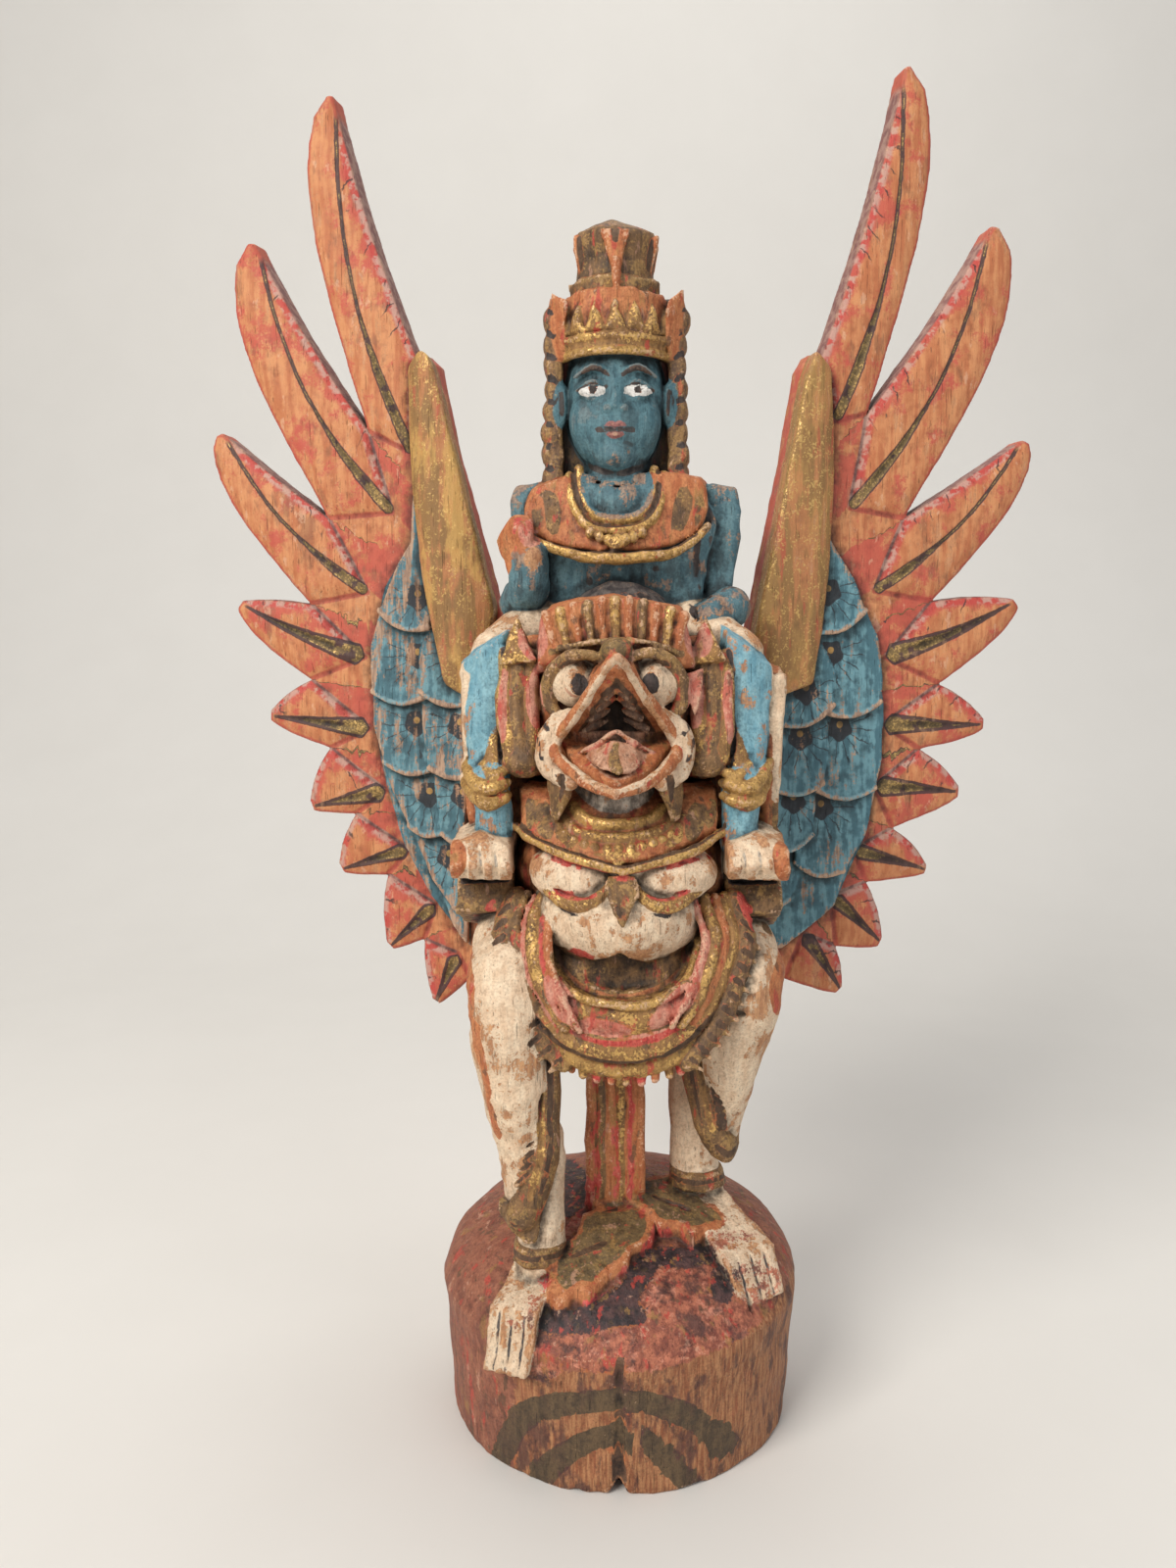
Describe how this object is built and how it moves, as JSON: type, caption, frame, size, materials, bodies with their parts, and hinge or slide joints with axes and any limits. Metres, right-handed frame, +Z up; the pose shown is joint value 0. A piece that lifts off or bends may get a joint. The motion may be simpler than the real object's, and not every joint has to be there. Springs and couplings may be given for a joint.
{
  "type": "garuda wood carving",
  "caption": "Painted wooden Garuda standing on a rounded log base, with spread feathered wings and a crowned rider on its shoulders.",
  "frame": {"origin": "middle of the log base's flat underside", "axes": "+Z up, the figure faces -Y, +X towards the viewer's right"},
  "size_m": [0.2584, 0.105, 0.4036],
  "materials": {
    "figure_painted_wood": "worn matte paint in orange, gold, cream and blue over bare wood",
    "wing_painted_wood": "worn matte orange and red paint, blue coverts and gold leading posts over bare wood"
  },
  "bodies": {
    "root": {"garuda_figure": "figure_painted_wood", "wing_left": "wing_painted_wood", "wing_right": "wing_painted_wood"}
  },
  "joints": []
}
